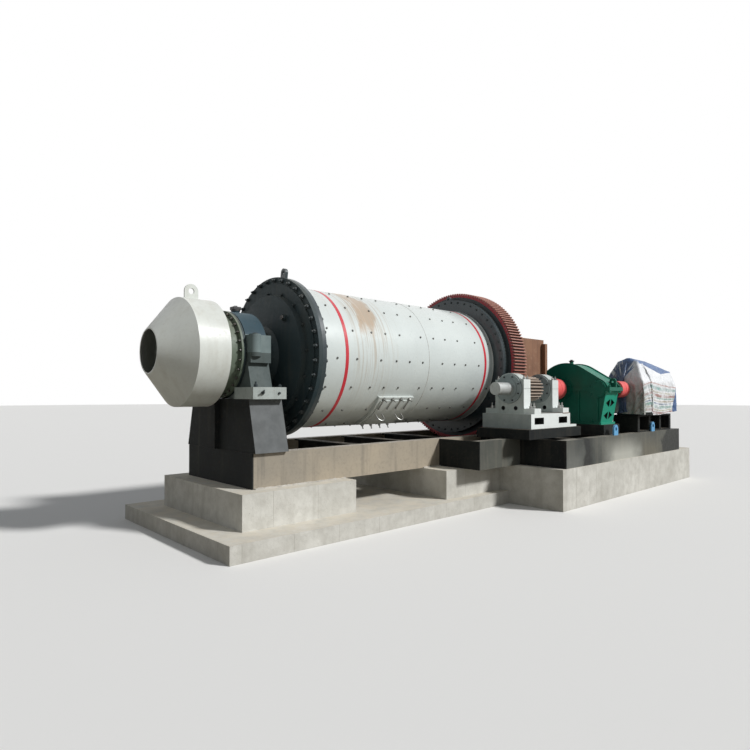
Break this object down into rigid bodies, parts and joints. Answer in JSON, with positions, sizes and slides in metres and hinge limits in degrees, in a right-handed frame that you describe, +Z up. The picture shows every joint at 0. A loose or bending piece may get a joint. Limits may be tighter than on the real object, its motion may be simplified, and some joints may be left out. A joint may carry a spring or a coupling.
{
  "type": "ball mill",
  "caption": "Ball mill with a bolted drum on two trunnion bearings, drum feeder, girth gear drive through reducer and wrapped motor, steel skid and concrete foundation.",
  "frame": {"origin": "on the foundation's underside, straight below the mill's axis at the feed flange's outer face", "axes": "+X along the mill's axis from the feed end to the discharge end, +Z up, the drive stands on the -Y side"},
  "size_m": [9.796, 3.7817, 3.394],
  "materials": {
    "concrete": "cast concrete, pale grey, rough",
    "frame_black": "black paint on rolled steel, dusty",
    "bearing_grey": "blue-grey paint on castings",
    "shell_white": "off-white gloss paint, streaked with rust",
    "head_slate": "dark slate paint on castings",
    "ring_green_grey": "green-grey primer",
    "gear_red": "red oxide paint, bare on the teeth",
    "pinion_steel": "machined steel, lightly rusted",
    "shaft_steel": "painted and turned steel",
    "block_grey": "light grey paint on castings",
    "coupling_red": "red paint",
    "reducer_green": "green enamel on castings",
    "motor_paint": "grey-blue paint",
    "tarp": "woven plastic tarpaulin, white with blue back",
    "hood_rust": "unpainted plate, brown with rust",
    "eye_blue": "light blue paint"
  },
  "bodies": {
    "root": {"foundation_slab": "concrete", "feed_plinth": "concrete", "discharge_plinth": "concrete", "drive_plinth": "concrete", "skid_beam_front": "frame_black", "skid_beam_back": "frame_black", "skid_cross_beams": "frame_black", "drive_frame_rails": "frame_black", "drive_frame_cross_beams": "frame_black", "feed_pedestal": "frame_black", "feed_bearing_base": "bearing_grey", "feed_bearing_housing": "bearing_grey", "feed_bearing_cap": "bearing_grey", "discharge_pedestal": "frame_black", "discharge_bearing_base": "bearing_grey", "discharge_bearing_housing": "bearing_grey", "discharge_bearing_cap": "bearing_grey", "pinion_block_front": "block_grey", "pinion_block_rear": "block_grey", "pinion_block_covers": "block_grey", "pinion_base": "block_grey", "pinion_packing": "frame_black", "reducer_case": "reducer_green", "reducer_cover": "reducer_green", "reducer_bearing_covers": "reducer_green", "reducer_packing": "frame_black", "motor": "motor_paint", "motor_stand": "frame_black", "motor_tarp": "tarp", "discharge_hood": "hood_rust", "frame_lifting_eyes": "eye_blue"},
    "drum": {"shell": "shell_white", "feed_head": "head_slate", "discharge_head": "head_slate", "manhole_cover": "shell_white", "girth_gear": "gear_red", "feeder_drum": "shell_white", "feeder_ring": "ring_green_grey"},
    "pinion_line": {"pinion": "pinion_steel", "pinion_shaft": "shaft_steel", "drive_coupling": "coupling_red", "reducer_output_shaft": "shaft_steel"},
    "motor_line": {"motor_shaft": "shaft_steel", "motor_coupling": "coupling_red"}
  },
  "joints": [
    {"name": "drum_spin", "type": "hinge", "parent": "root", "child": "drum", "pos_m": [0, 0, 2.13], "axis": [1, 0, 0], "continuous": true},
    {"name": "pinion_spin", "type": "hinge", "parent": "root", "child": "pinion_line", "pos_m": [3.856, -1.36667, 1.73], "axis": [1, 0, 0], "continuous": true},
    {"name": "motor_spin", "type": "hinge", "parent": "root", "child": "motor_line", "pos_m": [5.6, -2.01667, 1.73], "axis": [1, 0, 0], "continuous": true}
  ],
  "couplings": [
    {"joint": "pinion_spin", "follows": "drum_spin", "ratio": -7.0909},
    {"joint": "motor_spin", "follows": "drum_spin", "ratio": -58.358}
  ]
}
